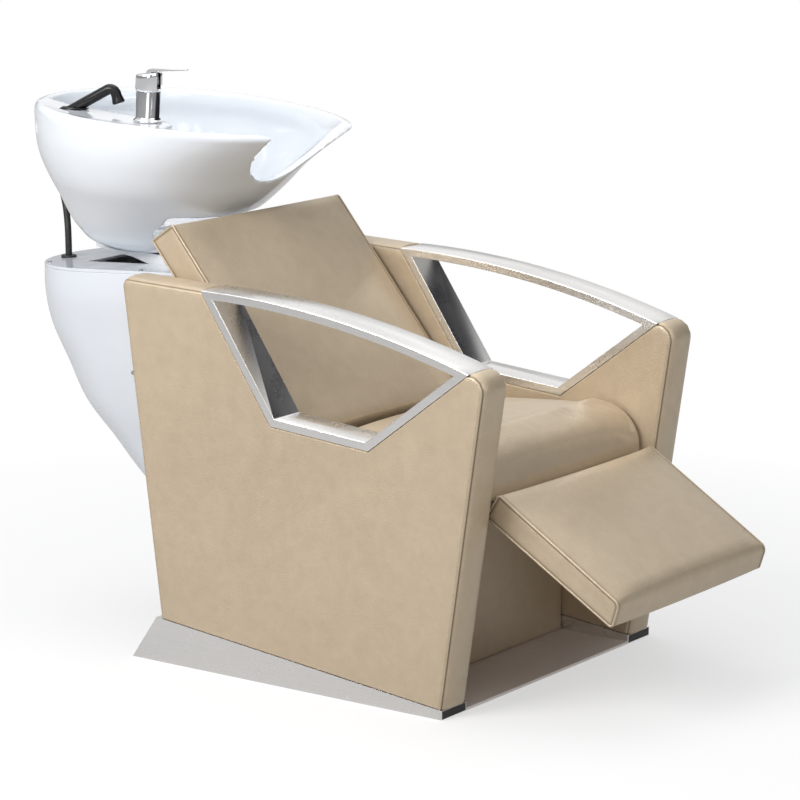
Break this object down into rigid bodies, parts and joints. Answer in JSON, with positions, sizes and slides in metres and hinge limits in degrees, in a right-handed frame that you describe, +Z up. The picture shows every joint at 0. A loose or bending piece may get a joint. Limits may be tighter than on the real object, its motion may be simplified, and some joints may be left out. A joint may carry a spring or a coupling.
{
  "type": "hair washing bed",
  "caption": "Salon backwash chair: padded seat, reclined back, leg rest and side panels, arched steel arms, tilting white ceramic basin with tap and hand shower.",
  "frame": {"origin": "on the floor, at the centre of the base's footprint", "axes": "+Z up; the sitter faces -Y and the basin is at the +Y end; +X is the sitter's left"},
  "size_m": [0.69, 1.4349, 1.0633],
  "materials": {
    "stainless": "satin",
    "painted_steel": "satin",
    "galvanised": "satin",
    "leatherette": "satin",
    "board": "matte",
    "ceramic": "gloss",
    "white_shell": "gloss",
    "chrome": "polished",
    "black_plastic": "gloss",
    "black_rubber": "satin",
    "brass": "satin",
    "white_steel": "gloss"
  },
  "bodies": {
    "frame": {"base_plate": "stainless", "right_plinth": "stainless", "left_plinth": "stainless", "plinth_end_caps": "black_plastic", "right_panel_core": "board", "left_panel_core": "board", "right_panel_cover": "leatherette", "left_panel_cover": "leatherette", "right_arm_frame": "stainless", "left_arm_frame": "stainless", "front_crossbar": "painted_steel", "rear_crossbar": "painted_steel", "crossbar_bolts": "galvanised", "seat_board": "board", "seat_cushion": "leatherette", "backrest_board": "board", "backrest_cushion": "leatherette", "backrest_screws": "galvanised", "right_backrest_bracket": "painted_steel", "left_backrest_bracket": "painted_steel", "front_panel_board": "board", "front_panel_cover": "leatherette", "right_hinge_bracket": "galvanised", "left_hinge_bracket": "galvanised", "leg_rest_pins": "galvanised", "friction_washers": "black_plastic", "column": "painted_steel", "column_bolts": "galvanised", "rear_shroud": "white_shell", "shroud_cover": "white_shell", "shroud_screws": "galvanised", "hose_grommet": "black_rubber", "hose_union": "brass", "tilt_bracket": "painted_steel", "tilt_pin": "galvanised", "tilt_washers": "black_plastic"},
    "leg_rest": {"leg_rest_board": "board", "leg_rest_cushion": "leatherette", "right_leg_rest_arm": "galvanised", "left_leg_rest_arm": "galvanised"},
    "basin_assembly": {"basin": "ceramic", "drain_strainer": "chrome", "waste_fitting": "chrome", "basin_gasket": "black_rubber", "tilt_plate": "white_steel", "tap_body": "chrome", "tap_nut": "brass", "shower_holder": "black_plastic", "shower_hose": "black_rubber"},
    "tap_top": {"tap_cap": "chrome", "lever_pin": "galvanised"},
    "lever": {"tap_lever": "chrome"},
    "handset": {"hand_shower": "black_plastic", "spray_face": "black_rubber"}
  },
  "joints": [
    {"name": "leg_rest_fold", "type": "hinge", "parent": "frame", "child": "leg_rest", "pos_m": [0, -0.3985, 0.352], "axis": [-1, 0, 0], "range_deg": [-64, 32]},
    {"name": "basin_tilt", "type": "hinge", "parent": "frame", "child": "basin_assembly", "pos_m": [0, 0.4815, 0.69], "axis": [1, 0, 0], "range_deg": [-7, 4], "deforming": ["shower_hose"]},
    {"name": "tap_turn", "type": "hinge", "parent": "basin_assembly", "child": "tap_top", "pos_m": [-0.174, 0.44159, 0.98211], "axis": [0, -0.061, 0.9981], "range_deg": [-45, 45]},
    {"name": "lever_lift", "type": "hinge", "parent": "tap_top", "child": "lever", "pos_m": [-0.174, 0.43726, 1.05298], "axis": [-1, 0, 0], "range_deg": [0, 20]},
    {"name": "handset_lift", "type": "slide", "parent": "basin_assembly", "child": "handset", "axis": [0.3584, -0.7995, 0.482], "range_m": [0, 0.07]}
  ]
}
